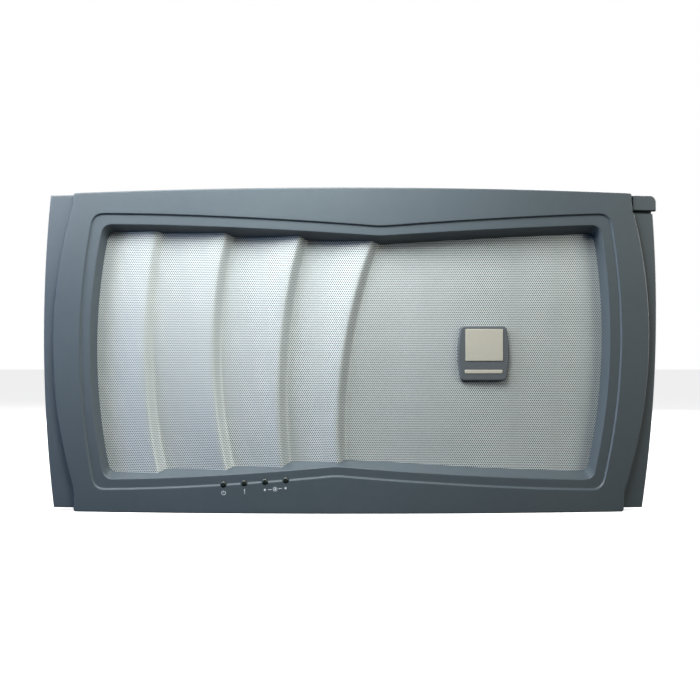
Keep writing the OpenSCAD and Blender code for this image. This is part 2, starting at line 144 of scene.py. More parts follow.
KIND = ["c"] * (NC + 1) + ["t"] * len(TOP_T) + ["c"] * (NC + 1) + ["s"] * len(SIDE_T)
KIND = KIND + KIND


def face_l(z):
    return min(-238.4 + (z - 132.5) ** 2 / 768, -221.4)


def face_r(z):
    return max(240 - (z - 141) ** 2 / 768, 219 + 6.6 * z / 255)


def face_top(x):
    return 257.5 - 2.7 * x * x / (222 * 222)


def face_outline(g, r=2.0):
    """The raised face's outline, drawn in by g, with the same stations as outline()."""
    rr, m = max(r - g, 0.0), max(r, g)

    def arc(cx, cz, a0):
        return [(cx + rr * math.cos(math.radians(a0 - 90 * i / NC)), cz + rr * math.sin(math.radians(a0 - 90 * i / NC))) for i in range(NC + 1)]
    zl, zr = face_top(-221.4), face_top(225.6)
    xl, xr, xbr = -221.4, face_r(zr), face_r(0)
    out = arc(xl + m, zl - m, 180)
    out += [(x, face_top(x) - g) for x in (mix(xl + m, xr - m, t) for t in TOP_T)]
    out += arc(xr - m, zr - m, 90)
    out += [(face_r(z) - g, z) for z in (mix(zr - m, m, t) for t in SIDE_T)]
    out += arc(xbr - m, m, 0)
    out += [(x, g) for x in (mix(xbr - m, xl + m, t) for t in TOP_T)]
    out += arc(xl + m, m, -90)
    out += [(face_l(z) + g, z) for z in (mix(m, zl - m, t) for t in SIDE_T)]
    return out


def ridge_x(k, z):
    return FOLDS[k][0] + (z - FOLDS[k][1]) ** 2 / (2 * FOLDS[k][2])


def up(z):
    return (z - 35) / 190


def ridge_rise(k, z):
    return mix(FOLDS[k][4], FOLDS[k][3], up(z))


def foot_rise(k, z):
    return mix(FOLDS[k][6], FOLDS[k][5], up(z))


def rise(x, z):
    rx = [ridge_x(k, z) for k in range(4)]
    if x < rx[0]:
        return mix(0.8, ridge_rise(0, z), run(x, -215, rx[0]) ** 1.6)
    for k in range(3):
        if x < rx[k + 1]:
            b = rx[k] + FOLD_W
            if x < b:
                return mix(ridge_rise(k, z), foot_rise(k, z), smooth((x - rx[k]) / FOLD_W))
            return mix(foot_rise(k, z), ridge_rise(k + 1, z), ((x - b) / (rx[k + 1] - b)) ** 1.6)
    if x < rx[3] + FOLD_W:
        return mix(ridge_rise(3, z), foot_rise(3, z), smooth((x - rx[3]) / FOLD_W))
    return mix(foot_rise(3, z), 0, smooth(run(x, rx[3] + FOLD_W, rx[3] + 45)))


def grille_y(x, z):
    return Y0 + sag(x) + BAND + DEEP - rise(x, z)


# ---------------------------------------------------------------- mesh making
def new_object(name, verts, faces, merge=True):
    """A mesh object from points in millimetres."""
    me = bpy.data.meshes.new(name)
    me.from_pydata([(v[0] * MM, v[1] * MM, v[2] * MM) for v in verts], [], faces)
    bm = bmesh.new()
    bm.from_mesh(me)
    if merge:
        bmesh.ops.remove_doubles(bm, verts=bm.verts, dist=2e-6)
    bmesh.ops.recalc_face_normals(bm, faces=bm.faces)
    bm.to_mesh(me)
    bm.free()
    ob = bpy.data.objects.new(name, me)
    scene.collection.objects.link(ob)
    return ob


def loft(loops, closed_section=True):
    """Quads between loops of the same length, each loop a closed ring of stations."""
    n, m = len(loops[0]), len(loops)
    verts = [p for loop in loops for p in loop]
    faces = []
    for j in range(m if closed_section else m - 1):
        a, b = j * n, ((j + 1) % m) * n
        for i in range(n):
            k = (i + 1) % n
            faces.append((a + i, a + k, b + k, b + i))
    return verts, faces


def capped(loops):
    """A solid from a stack of loops, with its first and last loop closed by one face each."""
    verts, faces = loft(loops, False)
    n, m = len(loops[0]), len(loops)
    faces.append(tuple(range(n))[::-1])
    faces.append(tuple((m - 1) * n + i for i in range(n)))
    return verts, faces


def merged(parts):
    verts, faces = [], []
    for v, f in parts:
        o = len(verts)
        verts += v
        faces += [tuple(i + o for i in face) for face in f]
    return verts, faces


def rod(x, z, r, ya, yb, n=32):
    """A round bar along Y."""
    return capped([[(x + r * math.cos(2 * math.pi * i / n), y, z + r * math.sin(2 * math.pi * i / n)) for i in range(n)] for y in (ya, yb)])


def block(xa, xb, ya, yb, za, zb):
    """A box whose front and rear follow the bow when ya or yb is given as a depth in a tuple."""
    n = 6
    def yy(v, x):
        return Y0 + sag(x) + v[0] if isinstance(v, tuple) else v
    xs = [mix(xa, xb, i / n) for i in range(n + 1)]
    ring = lambda v: [(x, yy(v, x), za) for x in xs] + [(x, yy(v, x), zb) for x in reversed(xs)]
    return capped([ring(ya), ring(yb)])


def boolean(ob, other, operation):
    m = ob.modifiers.new("b", "BOOLEAN")
    m.operation, m.object, m.solver = operation, other, "MANIFOLD"
    dg = bpy.context.evaluated_depsgraph_get()
    me = bpy.data.meshes.new_from_object(ob.evaluated_get(dg))
    ob.modifiers.clear()
    old = ob.data
    ob.data = me
    bpy.data.meshes.remove(old)
    bpy.data.objects.remove(other)


def finish_shading(ob, angle=32, weighted=True):
    me = ob.data
    me.polygons.foreach_set("use_smooth", [True] * len(me.polygons))
    me.set_sharp_from_angle(angle=math.radians(angle))
    if weighted:
        m = ob.modifiers.new("normals", "WEIGHTED_NORMAL")
        m.keep_sharp, m.weight, m.mode = True, 60, "FACE_AREA_WITH_ANGLE"


# ---------------------------------------------------------------- the frame moulding
def build_frame():
    RF, RE, RS = 0.9, 0.9, 0.35

    def at_depth(points, d):
        return [(x, Y0 + sag(x) + d, z) for x, z in points]

    def between(a, b, t):
        return [(mix(p[0], q[0], t), mix(p[1], q[1], t)) for p, q in zip(a, b)]

    def rear(points, inset):
        return [(x, Y0 + sag(x) + 7.0 if k == "s" else Y1 - inset, z) for (x, z), k in zip(points, KIND)]
    loops = [rear(face_outline(0), 0.5), at_depth(face_outline(0), 3.0)]
    for j in range(5):
        a = math.radians(22.5 * j)
        loops.append(at_depth(face_outline(RF * (1 - math.cos(a))), RF * (1 - math.sin(a))))
    inner, outer = outline(grow(STEP_LINE, 1.0)), face_outline(RF + 0.7)
    loops.append(at_depth(outer, 0))
    for t in (0.25, 0.5, 0.75):
        loops.append(at_depth(between(outer, inner, t), 0))
    loops.append(at_depth(inner, 0))
    # the step down to the recessed band
    for o, d in ((RS, 0), (0.14, 0.06), (0, 0.25), (-0.95, 1.42), (-1.15, 1.55), (-1.5, BAND), (-2.3, BAND)):
        loops.append(at_depth(outline(grow(STEP_LINE, o)), d))
    loops.append(at_depth(between(outline(grow(STEP_LINE, -2.3)), outline(grow(EDGE_LINE, 1.7)), 0.5), BAND))
    loops.append(at_depth(outline(grow(EDGE_LINE, 1.7)), BAND))
    # rounded edge of the window
    for j in range(5):
        a = math.radians(17.5 * j)
        loops.append(at_depth(outline(grow(EDGE_LINE, RE * (1 - math.sin(a)))), BAND + RE * (1 - math.cos(a))))
    # sloping walls: the same slope all round, so they end nearer the edge where the sheet stands higher
    e, f = outline(EDGE_LINE), outline(FOOT_LINE)
    eo, fo = outline(grow(EDGE_LINE, INNER)), outline(grow(FOOT_LINE, INNER))
    share = [1 - rise(x, z) / DEEP for x, z in f]
    foot = [(mix(p[0], q[0], s), mix(p[1], q[1], s)) for p, q, s in zip(e, f, share)]
    footo = [(mix(p[0], q[0], s), mix(p[1], q[1], s)) for p, q, s in zip(eo, fo, share)]
    head = outline(grow(EDGE_LINE, RE * (1 - math.sin(math.radians(70)))))
    hd = BAND + RE * (1 - math.cos(math.radians(70)))
    inside = [(x, grille_y(x, z) - 0.3, z) for x, z in foot]
    start = at_depth(head, hd)
    for t in (0.12, 0.45, 0.75, 0.94):
        loops.append([tuple(mix(p[k], q[k], t) for k in range(3)) for p, q in zip(start, inside)])
    loops.append(inside)
    outside = [(x, grille_y(x, z) - 0.3, z) for x, z in footo]
    loops.append(outside)
    back = at_depth(between(eo, fo, 0.19), 5.2)
    loops.append([tuple(mix(p[k], q[k], 0.5) for k in range(3)) for p, q in zip(outside, back)])
    loops.append(back)
    wall_in, wall_root = face_outline(WALL), between(eo, fo, 0.19)
    for t in (0.34, 0.67):
        loops.append(at_depth(between(wall_root, wall_in, t), 5.2))
    loops.append(at_depth(wall_in, 5.2))
    loops.append(rear(wall_in, 0.3))
    loops.append(rear(face_outline(WALL - 0.3), 0))
    loops.append(rear(face_outline(0.5), 0))
    ob = new_object("front_frame", *loft(loops))

    # the two ears: a rounded slab, hollow from the rear
    def ear(sign):
        nz, nx, r = 64, 6, 1.0
        za, zb = 2.8, 253.6
        if sign < 0:
            def edge(z):
                return -246.8 + (z - 139) ** 2 / 2252
            def root(z):
                return face_l(z) + 1.5
        else:
            def edge(z):
                return 246.8 - (z - 160) ** 2 / 2090
            def root(z):
                return face_r(z) - 1.5

        def loop(g, y):
            pts = []
            zs = [mix(za + g, zb - g, i / nz) for i in range(nz + 1)]
            for z in zs:
                pts.append((edge(z) - sign * g, z))
            for i in range(1, nx):
                z = zs[-1]
                pts.append((mix(edge(z) - sign * g, root(z), i / nx), z))
            for z in reversed(zs):
                pts.append((root(z), z))
            for i in range(nx - 1, 0, -1):
                z = zs[0]
                pts.append((mix(edge(z) - sign * g, root(z), i / nx), z))
            return [(x, y(x), z) for x, z in pts]
        rows = [loop(0.5, lambda x: Y1), loop(0, lambda x: Y1 - 0.5)]
        for j in range(5):
            a = math.radians(22.5 * j)
            rows.append(loop(r * (1 - math.cos(a)), lambda x, a=a: Y0 + sag(x) + EAR + r * (1 - math.sin(a))))
        verts, faces = loft(rows, False)
        n = len(rows[0])

        def cap(base, y, g, flip):
            # rows of quads across the slab, sharing the loop's points
            zs = [mix(za + g, zb - g, i / nz) for i in range(nz + 1)]
            idx = []
            for i, z in enumerate(zs):
                row = [base + i]
                for k in range(1, nx):
                    if i == nz:
                        row.append(base + nz + k)
                    elif i == 0:
                        row.append(base + 2 * (nz + 1) + (nx - 1) + (nx - 1 - k))
                    else:
                        x = mix(edge(z) - sign * g, root(z), k / nx)
                        verts.append((x, y(x), z))
                        row.append(len(verts) - 1)
                row.append(base + (nz + 1) + (nx - 1) + (nz - i))
                idx.append(row)
            for i in range(nz):
                for k in range(nx):
                    q = (idx[i][k], idx[i][k + 1], idx[i + 1][k + 1], idx[i + 1][k])
                    faces.append(q[::-1] if flip else q)
        cap(0, lambda x: Y1, 0.5, False)
        cap((len(rows) - 1) * n, lambda x: Y0 + sag(x) + EAR, r, True)
        slab = new_object("ear", verts, faces)
        # its hollow
        ring = []
        zs = [mix(za + WALL, zb - WALL, i / 40) for i in range(41)]
        pts = [(edge(z) - sign * WALL, z) for z in zs] + [(root(z) - sign * 12, z) for z in reversed(zs)]
        hollow = new_object("hollow", *capped([[(x, Y0 + sag(x) + EAR + 3.2, z) for x, z in pts], [(x, Y1 + 5, z) for x, z in pts]]))
        boolean(slab, hollow, "DIFFERENCE")
        return slab
    for sign in (-1, 1):
        boolean(ob, ear(sign), "UNION")

    # seat of the label tab
    n = 8
    zs = [mix(235.6, 253.55, i / n) for i in range(n + 1)]
    ex = lambda z: 246.8 - (z - 160) ** 2 / 2090 - 0.05
    pts = [(222.6, z) for z in zs] + [(ex(z), z) for z in reversed(zs)]
    seat = new_object("seat", *capped([[(x, Y0 + sag(x) + EAR + 1.1, z) for x, z in pts], [(x, Y0 + sag(x) + EAR + 9, z) for x, z in pts]]))
    boolean(ob, seat, "UNION")

    # ribs behind the skin, and the posts of the clamps, the carrier and the sockets
    parts = []
    for x in (-198, -140, -85, -15, 35, 90, 150, 198):
        parts.append(block(x - 1, x + 1, (4.6,), (10.5,), top_z(EDGE_LINE, x) - 0.6, face_top(x) - 1.5))
    for x in (-198, -152, -5, 80, 145, 195):
        parts.append(block(x - 1, x + 1, (4.6,), (10.5,), 1.5, bottom_z(FOOT_LINE, x) - SHEET_LAP - 0.8))
    for z in (60, 110, 150, 200):
        parts.append(block(face_l(z) + 1.5, left_x(EDGE_LINE, z) + 0.6, (4.6,), (10.5,), z - 1, z + 1))
        parts.append(block(right_x(EDGE_LINE, z) - 0.6, face_r(z) - 1.5, (4.6,), (10.5,), z - 1, z + 1))
    boolean(ob, new_object("ribs", *merged(parts)), "UNION")
    out = SHEET_LAP + 3.7
    clamps = [(x, top_z(FOOT_LINE, x) + out) for x in (-178, -125, -68, 60, 120, 178)]
    clamps += [(x, bottom_z(FOOT_LINE, x) - out) for x in (-178, -128, -25, 50, 115, 175)]
    clamps += [(left_x(FOOT_LINE, z) - out, z) for z in (85, 175)] + [(right_x(FOOT_LINE, z) + out, z) for z in (85, 175)]
    parts = []
    for x, z in clamps:
        y = max(grille_y(x + dx, z + dz) for dx in (-6, 0, 6) for dz in (-6, 0, 6)) + SHEET_T + 0.4
        parts.append(rod(x, z, 3.2, Y0 + sag(x) + 4.1, y))
    for x in (-115, -37):
        parts.append(rod(x, 13, 3.2, Y0 + sag(x) + 4.1, 2))
    for x in (-224, 224):
        for zc in (34, 222):
            for d in (-12.5, 12.5):
                parts.append(rod(x, zc + d, 3.4, Y0 + sag(x) + EAR + 1.5, 10))
    boolean(ob, new_object("posts", *merged(parts)), "UNION")

    # holes of the light pipes, the tab's seat and the slot for its leg
    parts = [rod(-100.2 + 16.5 * i, (22.9, 24.0, 25.2, 26.5)[i], 2.55, Y0 - 5, 1.0, 48) for i in range(4)]
    parts.append(block(226.2, 262, Y0 - 8, (EAR + 5.6,), 238.8, 275))
    boolean(ob, new_object("cut", *merged(parts)), "DIFFERENCE")
    boolean(ob, new_object("slot", *block(233, 240, 0, 14, 246.2, 248.8)), "DIFFERENCE")
    finish_shading(ob)
    return ob


# ---------------------------------------------------------------- the folded sheet
def build_grille():
    q = grow(FOOT_LINE, SHEET_LAP)
    order = [(0, i / 16) for i in range(16)]
    for k in range(4):
        order += [(2 * k + 1, i / 9) for i in range(9)]
        if k < 3:
            order += [(2 * k + 2, i / 16) for i in range(16)]
    order += [(8, i / 12) for i in range(12)] + [(9, i / 44) for i in range(45)]
    nz = 100

    def line_x(s, z):
        if s == 0:
            return left_x(q, z)
        if s == 10:
            return right_x(q, z)
        if s == 9:
            return ridge_x(3, z) + 45
        return ridge_x((s - 1) // 2, z) if s % 2 else ridge_x(s // 2 - 1, z) + FOLD_W

    def at(e, z):
        return mix(line_x(e[0], z), line_x(e[0] + 1, z), e[1])
    rows, arc = [], []
    for j in range(nz + 1):
        v, row = j / nz, []
        for e in order:
            x = 0.0
            for _ in range(4):
                z = mix(bottom_z(q, x), top_z(q, x), v)
                x = at(e, z)
            row.append((x, grille_y(x, z), z))
        # length along the sheet, counted from the plain panel, so that the holes keep their pitch on the folds
        base = len(order) - 25
        s = [0.0] * len(row)
        for i in range(base + 1, len(row)):
            s[i] = s[i - 1] + math.hypot(row[i][0] - row[i - 1][0], row[i][1] - row[i - 1][1])
        for i in range(base - 1, -1, -1):
            s[i] = s[i + 1] - math.hypot(row[i][0] - row[i + 1][0], row[i][1] - row[i + 1][1])
        off = row[base][0]
        rows.append(row)
        arc.append([a + off for a in s])
    w, h = len(order), nz + 1
    verts = [p for row in rows for p in row] + [(x, y + SHEET_T, z) for row in rows for x, y, z in row]
    uvs = [(arc[j][i], rows[j][i][2]) for j in range(h) for i in range(w)]
    uvs = uvs + uvs
    m = w * h
    faces = []
    for j in range(nz):
        for i in range(w - 1):
            a = j * w + i
            faces.append((a, a + 1, a + w + 1, a + w))
            faces.append((m + a, m + a + w, m + a + w + 1, m + a + 1))
    for i in range(w - 1):
        faces.append((i, m + i, m + i + 1, i + 1))
        a = nz * w + i
        faces.append((a, a + 1, m + a + 1, m + a))
    for j in range(nz):
        a = j * w
        faces.append((a, a + w, m + a + w, m + a))
        a = j * w + w - 1
        faces.append((a, m + a, m + a + w, a + w))
    me = bpy.data.meshes.new("folded_grille")
    me.from_pydata([(v[0] * MM, v[1] * MM, v[2] * MM) for v in verts], [], faces)
    holes = me.uv_layers.new(name="sheet")
    bake = me.uv_layers.new(name="OFBake")
    lo = min(v[0] for v in verts), min(v[2] for v in verts)
    hi = max(v[0] for v in verts), max(v[2] for v in verts)
    for p in me.polygons:
        front = all(me.loops[l].vertex_index < m for l in p.loop_indices)
        for l in p.loop_indices:
            v = me.loops[l].vertex_index
            holes.data[l].uv = (uvs[v][0] * MM, uvs[v][1] * MM)
            u, t = (verts[v][0] - lo[0]) / (hi[0] - lo[0]), (verts[v][2] - lo[1]) / (hi[1] - lo[1])
            bake.data[l].uv = (0.005 + 0.99 * u, 0.255 + 0.74 * t) if front else (0.005 + 0.99 * u, 0.005 + 0.24 * t)
    me.uv_layers.active = holes
    ob = bpy.data.objects.new("folded_grille", me)
    scene.collection.objects.link(ob)
    me.polygons.foreach_set("use_smooth", [True] * len(me.polygons))
    me.set_sharp_from_angle(angle=math.radians(50))
    return ob


# ---------------------------------------------------------------- plates with rounded edges
def inset(points, g):
    """A convex outline drawn in by g, its corners mitred."""
    n, out = len(points), []
    area = sum(points[i][0] * points[(i + 1) % n][1] - points[(i + 1) % n][0] * points[i][1] for i in range(n))
    s = 1 if area > 0 else -1
    for i in range(n):
        p0, p1, p2 = points[i - 1], points[i], points[(i + 1) % n]
        a = (p1[0] - p0[0], p1[1] - p0[1])
        b = (p2[0] - p1[0], p2[1] - p1[1])
        la, lb = math.hypot(*a), math.hypot(*b)
        na, nb = (-a[1] / la * s, a[0] / la * s), (-b[1] / lb * s, b[0] / lb * s)
        k = 1 + na[0] * nb[0] + na[1] * nb[1]
        out.append((p1[0] + g * (na[0] + nb[0]) / k, p1[1] + g * (na[1] + nb[1]) / k))
    return out


def rounded_plate(points, front, back, r, segs=4):
    """An outline in X-Z run from front(x) to back(x), its front edge rounded by r."""
    rows = [[(x, back(x), z) for x, z in points]]
    for j in range(segs + 1):
        a = math.radians(90 * j / segs)
        rows.append([(x, front(x) + r * (1 - math.sin(a)), z) for x, z in inset(points, r * (1 - math.cos(a)))])
    # a last row inside the edge, so that the flat face shades flat
    lo, hi = (min(p[0] for p in points), min(p[1] for p in points)), (max(p[0] for p in points), max(p[1] for p in points))
    c, half = ((lo[0] + hi[0]) / 2, (lo[1] + hi[1]) / 2), ((hi[0] - lo[0]) / 2, (hi[1] - lo[1]) / 2)
    k = [1 - (r + 0.35) / h for h in half]
    rows.append([(c[0] + (x - c[0]) * k[0], front(c[0] + (x - c[0]) * k[0]), c[1] + (z - c[1]) * k[1]) for x, z in points])
    return capped(rows)


def on_front(x, z, d):
    """The place on a surface d behind the bowed front, facing outwards, in metres."""
    a = math.asin(x / (R - d))
    m = Matrix.Translation((0, (Y0 + R) * MM, z * MM)) @ Matrix.Rotation(a, 4, "Z") @ Matrix.Translation((0, -(R - d) * MM, 0))
    return m


def badge_outline(w, h, b, r):
    n = 16
    out = [(-w / 2 + b * t * t, t * (h / 2 - r)) for t in (-1 + 2 * i / n for i in range(n + 1))]
    out += bez((-w / 2 + b, h / 2 - r), (-w / 2 + b, h / 2), (-w / 2 + b + r, h / 2), 8)[1:]
    out += bez((w / 2 - b - r, h / 2), (w / 2 - b, h / 2), (w / 2 - b, h / 2 - r), 8)
    out += [(w / 2 - b * t * t, t * (h / 2 - r)) for t in (1 - 2 * i / n for i in range(1, n))]
    out += bez((w / 2 - b, -h / 2 + r), (w / 2 - b, -h / 2), (w / 2 - b - r, -h / 2), 8)
    out += bez((-w / 2 + b + r, -h / 2), (-w / 2 + b, -h / 2), (-w / 2 + b, -h / 2 + r), 8)[:-1]
    return out


def placed(ob, m):
    ob.data.transform(m)
    ob.data.update()
    return ob


front_frame = build_frame()
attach(front_frame, "root")
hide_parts("bezel_frame")

folded_grille = build_grille()
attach(folded_grille, "root")
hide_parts("mesh_grille")

# ---------------------------------------------------------------- small pieces
# badge: a moulded plaque with two inlaid plates
badge_at = on_front(106.7, 126.5, BAND + DEEP)
INLAY_Z, BAR_Z = 6.8, -14.6
seats = [block(-14.8, 15.7, -5.5, -3.4, INLAY_Z - 12.9, INLAY_Z + 12.9), block(-15.4, 15.4, -5.5, -3.5, BAR_Z - 1.6, BAR_Z + 1.6)]
badge_plate = new_object("badge_plate", *rounded_plate(badge_outline(41.6, 44, 1.6, 4.4), lambda x: -4.0, lambda x: -0.3, 1.3, 5))
boolean(badge_plate, new_object("studs", *merged([rod(0, d, 1.5, -1.5, 5.5) for d in (-14, 14)])), "UNION")
boolean(badge_plate, new_object("seats", *merged(seats)), "DIFFERENCE")
finish_shading(badge_plate)
placed(badge_plate, badge_at)
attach(badge_plate, "root")
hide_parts("badge_plaque")


def tablet(name, w, h, z, front, back, r, corner, dx=0.0):
    """A thin plate with rounded corners and edges, on the badge."""
    x, t = w / 2, h / 2
    pts = []
    for cx, cz, a0 in ((-x + corner, z + t - corner, 180), (x - corner, z + t - corner, 90), (x - corner, z - t + corner, 0), (-x + corner, z - t + corner, -90)):
        pts += [(cx + corner * math.cos(math.radians(a0 - 18 * i)), cz + corner * math.sin(math.radians(a0 - 18 * i))) for i in range(6)]
    pts = [(a + dx, b) for a, b in pts]
    ob = new_object(name, *rounded_plate(pts, lambda x: front, lambda x: back, r, 3))
    finish_shading(ob)
    placed(ob, badge_at)
    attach(ob, "root")
    return ob


badge_panel = tablet("badge_panel", 30.3, 25.6, INLAY_Z, -4.5, -3.4, 0.3, 0.6, 0.45)
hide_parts("badge_inlay")
badge_strip = tablet("badge_strip", 30.6, 3.0, BAR_Z, -4.35, -3.5, 0.3, 0.9)
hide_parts("badge_bar")

# label tab: a plug-in end piece with rounded edges and a hooked leg behind
pts = [(226.6, 241.2), (226.6, 253.2)] + bez((241.6, 253.2), (243.9, 252.9), (244.9, 251.4), 4) + bez((244.9, 251.4), (246.1, 249.9), (246.2, 248.4), 4)[1:] + [(246.2, 241.2)]
end_tab = new_object("end_tab", *rounded_plate(pts, lambda x: Y0 + sag(x) + 2.5, lambda x: Y0 + sag(x) + 9.35, 0.8, 4))
boolean(end_tab, new_object("leg", *merged([capped([[(233.3, y, z0), (239.7, y, z0), (239.7, y, z1), (233.3, y, z1)] for y, z0, z1 in ((2.0, 246.5, 248.5), (9.9, 246.5, 248.5), (10.0, 246.5, 248.7), (10.9, 246.5, 248.7), (11.5, 246.5, 248.2))])])), "UNION")
finish_shading(end_tab)
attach(end_tab, "root")
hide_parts("label_tab")

# light pipes: long clear rods with a domed end and a collar
PIPES = [(-100.2 + 16.5 * i, (22.9, 24.0, 25.2, 26.5)[i]) for i in range(4)]
lamps = []
for i, (x, z) in enumerate(PIPES):
    ya = Y0 + sag(x)
    rows, n = [], 40
    prof = [(2.4 * math.sin(math.radians(a)), ya - 0.7 + 1.05 * (1 - math.cos(math.radians(a)))) for a in (8, 20, 32, 44, 56, 68, 80, 90)]
    prof += [(2.4, ya + 1.2), (2.4, -0.5), (2.7, -0.5), (3.2, -0.2), (3.2, 1.5), (2.9, 1.8), (2.4, 1.8), (2.4, 6.6), (2.0, 7.0)]
    for r, y in prof:
        rows.append([(x + r * math.cos(2 * math.pi * k / n), y, z + r * math.sin(2 * math.pi * k / n)) for k in range(n)])
    lamp = new_object(f"lamp_{i + 1}", *capped(rows))
    finish_shading(lamp, 40)
    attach(lamp, "root")
    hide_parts(f"light_pipe_{i + 1}")
    lamps.append(lamp)


# printed marks below the lamps: a ring with a stroke, a bar with a dot, and a plain chain of shapes
def flat(pts):
    """A thin printed shape lying on the bowed front, from an outline in X-Z."""
    return capped([[(x, Y0 + sag(x) - 0.03, z) for x, z in pts], [(x, Y0 + sag(x) + 0.05, z) for x, z in pts]])


def ring(cx, cz, ro, ri, a0=0.0, a1=360.0, n=36):
    outer = [(cx + ro * math.cos(math.radians(mix(a0, a1, i / n))), cz + ro * math.sin(math.radians(mix(a0, a1, i / n)))) for i in range(n + 1)]
    inner = [(cx + ri * math.cos(math.radians(mix(a0, a1, i / n))), cz + ri * math.sin(math.radians(mix(a0, a1, i / n)))) for i in range(n + 1)]
    parts = []
    for i in range(n):
        parts.append(flat([outer[i], outer[i + 1], inner[i + 1], inner[i]]))
    return parts


def bar(cx, cz, w, h, lean=0.0):
    c, s = math.cos(math.radians(lean)), math.sin(math.radians(lean))
    return flat([(cx + a * w / 2 * c - b * h / 2 * s, cz + a * w / 2 * s + b * h / 2 * c) for a, b in ((-1, -1), (1, -1), (1, 1), (-1, 1))])


def disc(cx, cz, r, n=24):
    return flat([(cx + r * math.cos(2 * math.pi * i / n), cz + r * math.sin(2 * math.pi * i / n)) for i in range(n)])


marks = ring(-99.9, 16.3, 1.75, 1.3, 118, 422) + [bar(-99.9, 17.3, 0.45, 1.7)]
marks += [bar(-83.3, 18.3, 0.62, 2.1), disc(-83.3, 16.2, 0.42)]
marks += [bar(-67.2, 18.9, 1.5, 1.5, 45), bar(-63.2, 19.1, 2.6, 0.42, 3), bar(-55.0, 20.0, 2.6, 0.42, 3), bar(-50.9, 20.3, 1.5, 1.5, 45)]
marks += ring(-59.1, 19.5, 1.75, 1.35) + [bar(-59.1, 19.5, 1.9, 0.5, 40), disc(-59.1, 19.5, 0.62)]
printed_marks = new_object("printed_marks", *merged(marks), merge=False)
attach(printed_marks, "root")


# ---------------------------------------------------------------- materials
def material(name):
    m = bpy.data.materials.new(name)
    m.use_nodes = True
    return m, m.node_tree, m.node_tree.nodes["Principled BSDF"]


def node(nt, kind, **values):
    n = nt.nodes.new(kind)
    for k, v in values.items():
        setattr(n, k, v)
    return n


def noise(nt, scale, detail=3.0, rough=0.55, coords=None):
    tc = coords or node(nt, "ShaderNodeTexCoord").outputs["Object"]
    n = node(nt, "ShaderNodeTexNoise")
    n.inputs["Scale"].default_value = scale
    n.inputs["Detail"].default_value = detail
    n.inputs["Roughness"].default_value = rough
    nt.links.new(tc, n.inputs["Vector"])
    return n.outputs["Fac"]


def ramp(nt, fac, lo, hi, a, b):
    r = node(nt, "ShaderNodeValToRGB")
    r.color_ramp.elements[0].position, r.color_ramp.elements[1].position = lo, hi
    r.color_ramp.elements[0].color = (*a, 1)
    r.color_ramp.elements[1].color = (*b, 1)
    nt.links.new(fac, r.inputs["Fac"])
    return r.outputs["Color"]


def spread(nt, fac, lo, hi, a, b):
    r = node(nt, "ShaderNodeMapRange")
    for k, v in zip(("From Min", "From Max", "To Min", "To Max"), (lo, hi, a, b)):
        r.inputs[k].default_value = v
    nt.links.new(fac, r.inputs["Value"])
    return r.outputs["Result"]


def bump(nt, bsdf, height, distance, strength=1.0):
    b = node(nt, "ShaderNodeBump")
    b.inputs["Strength"].default_value = strength
    b.inputs["Distance"].default_value = distance
    nt.links.new(height, b.inputs["Height"])
    nt.links.new(b.outputs["Normal"], bsdf.inputs["Normal"])


def math_node(nt, op, a, b=None, c=None):
    n = node(nt, "ShaderNodeMath", operation=op)
    for i, v in enumerate((a, b, c)):
        if v is None:
            continue
        if isinstance(v, (int, float)):
            n.inputs[i].default_value = v
        else:
            nt.links.new(v, n.inputs[i])
    return n.outputs[0]


def plastic(name, dark, light, rough, grain, depth, spec=0.5, patch=9.0):
    """Moulded plastic: a fine spark-eroded grain, faint broad mottling and slightly uneven gloss."""
    m, nt, b = material(name)
    fine = noise(nt, grain, 2.0, 0.5)
    broad = noise(nt, patch, 4.0, 0.6)
    mid = noise(nt, 160.0, 3.0, 0.6)
    both = math_node(nt, "MULTIPLY_ADD", broad, 0.55, math_node(nt, "MULTIPLY_ADD", mid, 0.25, math_node(nt, "MULTIPLY", fine, 0.2)))
    nt.links.new(ramp(nt, both, 0.34, 0.66, dark, light), b.inputs["Base Color"])
    nt.links.new(spread(nt, fine, 0.3, 0.7, rough - 0.05, rough + 0.05), b.inputs["Roughness"])
    b.inputs["Specular IOR Level"].default_value = spec
    bump(nt, b, fine, depth)
    return m


FRAME_DARK, FRAME_LIGHT, FRAME_ROUGH = (0.058, 0.075, 0.089), (0.070, 0.088, 0.102), 0.46
frame_plastic = plastic("frame_plastic", FRAME_DARK, FRAME_LIGHT, FRAME_ROUGH, 1300.0, 0.00004)
badge_plastic = plastic("badge_plastic", (0.075, 0.086, 0.096), (0.088, 0.098, 0.108), 0.5, 1500.0, 0.00002)
carrier_plastic = plastic("carrier_plastic", (0.012, 0.012, 0.013), (0.02, 0.02, 0.021), 0.5, 900.0, 0.00002)
socket_plastic = plastic("socket_plastic", (0.62, 0.61, 0.56), (0.70, 0.69, 0.64), 0.42, 700.0, 0.00001)

# the sheet: pale satin paint, round holes in staggered rows; the holes are painted near-black, painted shade for the
# shadow seen through them
PITCH, HOLE = 0.0016, 0.0005
SHEET_DARK, SHEET_LIGHT, SHEET_METAL, SHEET_ROUGH = (0.60, 0.645, 0.65), (0.70, 0.735, 0.745), 0.35, 0.42
perforated, nt, b = material("perforated_steel")
uv = node(nt, "ShaderNodeUVMap", uv_map="sheet").outputs["UV"]
sep = node(nt, "ShaderNodeSeparateXYZ")
nt.links.new(uv, sep.inputs[0])
rowp = PITCH * math.sqrt(3)


